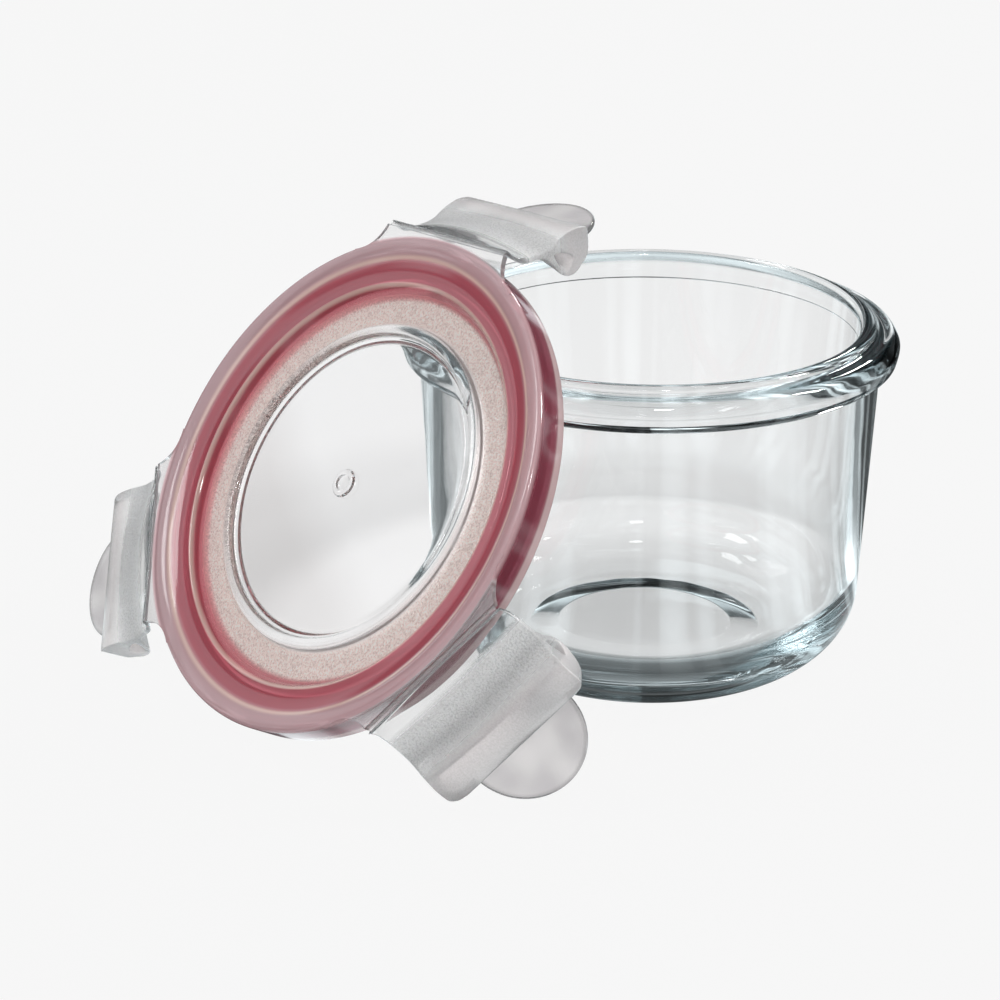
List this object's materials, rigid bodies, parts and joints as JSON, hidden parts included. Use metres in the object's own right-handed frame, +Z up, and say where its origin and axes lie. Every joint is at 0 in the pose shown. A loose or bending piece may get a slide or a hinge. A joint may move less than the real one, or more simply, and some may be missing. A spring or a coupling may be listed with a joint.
{
  "type": "glass storage container",
  "caption": "Round clear glass bowl with a beaded rim, and a translucent clip-on lid with hinged latches and a soft seal ring leaning on it.",
  "frame": {"origin": "centre of the bowl's base, on the surface it stands on", "axes": "+Z up along the bowl's axis; the lid leans on the bowl's rim towards -X and -Y"},
  "size_m": [0.1787, 0.1397, 0.1001],
  "materials": {
    "glass": "clear polished pressed glass, faint blue-green in the thick edges",
    "lid_plastic": "translucent natural polypropylene, glossy, with a fine-grained recessed floor",
    "latch_plastic": "translucent natural polypropylene with a grained band on the plate",
    "seal_silicone": "smooth red silicone"
  },
  "bodies": {
    "bowl": {"bowl": "glass"},
    "lid": {"lid": "lid_plastic", "seal": "seal_silicone", "hinge_film_top": "lid_plastic", "hinge_film_left": "lid_plastic", "hinge_film_right": "lid_plastic"},
    "latch_top": {"latch_top": "latch_plastic"},
    "latch_left": {"latch_left": "latch_plastic"},
    "latch_right": {"latch_right": "latch_plastic"}
  },
  "joints": [
    {"name": "lid_lift", "type": "slide", "parent": "bowl", "child": "lid", "axis": [-0.6059, -0.5572, 0.5678], "range_m": [0, 0.1]},
    {"name": "latch_top_hinge", "type": "hinge", "parent": "lid", "child": "latch_top", "pos_m": [-0.04205, -0.01752, 0.09751], "axis": [-0.6972, 0.7157, -0.0416], "range_deg": [-91.3, 38.7]},
    {"name": "latch_left_hinge", "type": "hinge", "parent": "lid", "child": "latch_left", "pos_m": [-0.10652, -0.01817, 0.02809], "axis": [0.0167, -0.7225, -0.6911], "range_deg": [-57, 73]},
    {"name": "latch_right_hinge", "type": "hinge", "parent": "lid", "child": "latch_right", "pos_m": [-0.04047, -0.08598, 0.03204], "axis": [0.6804, 0.0068, 0.7328], "range_deg": [-95.5, 34.5]}
  ]
}
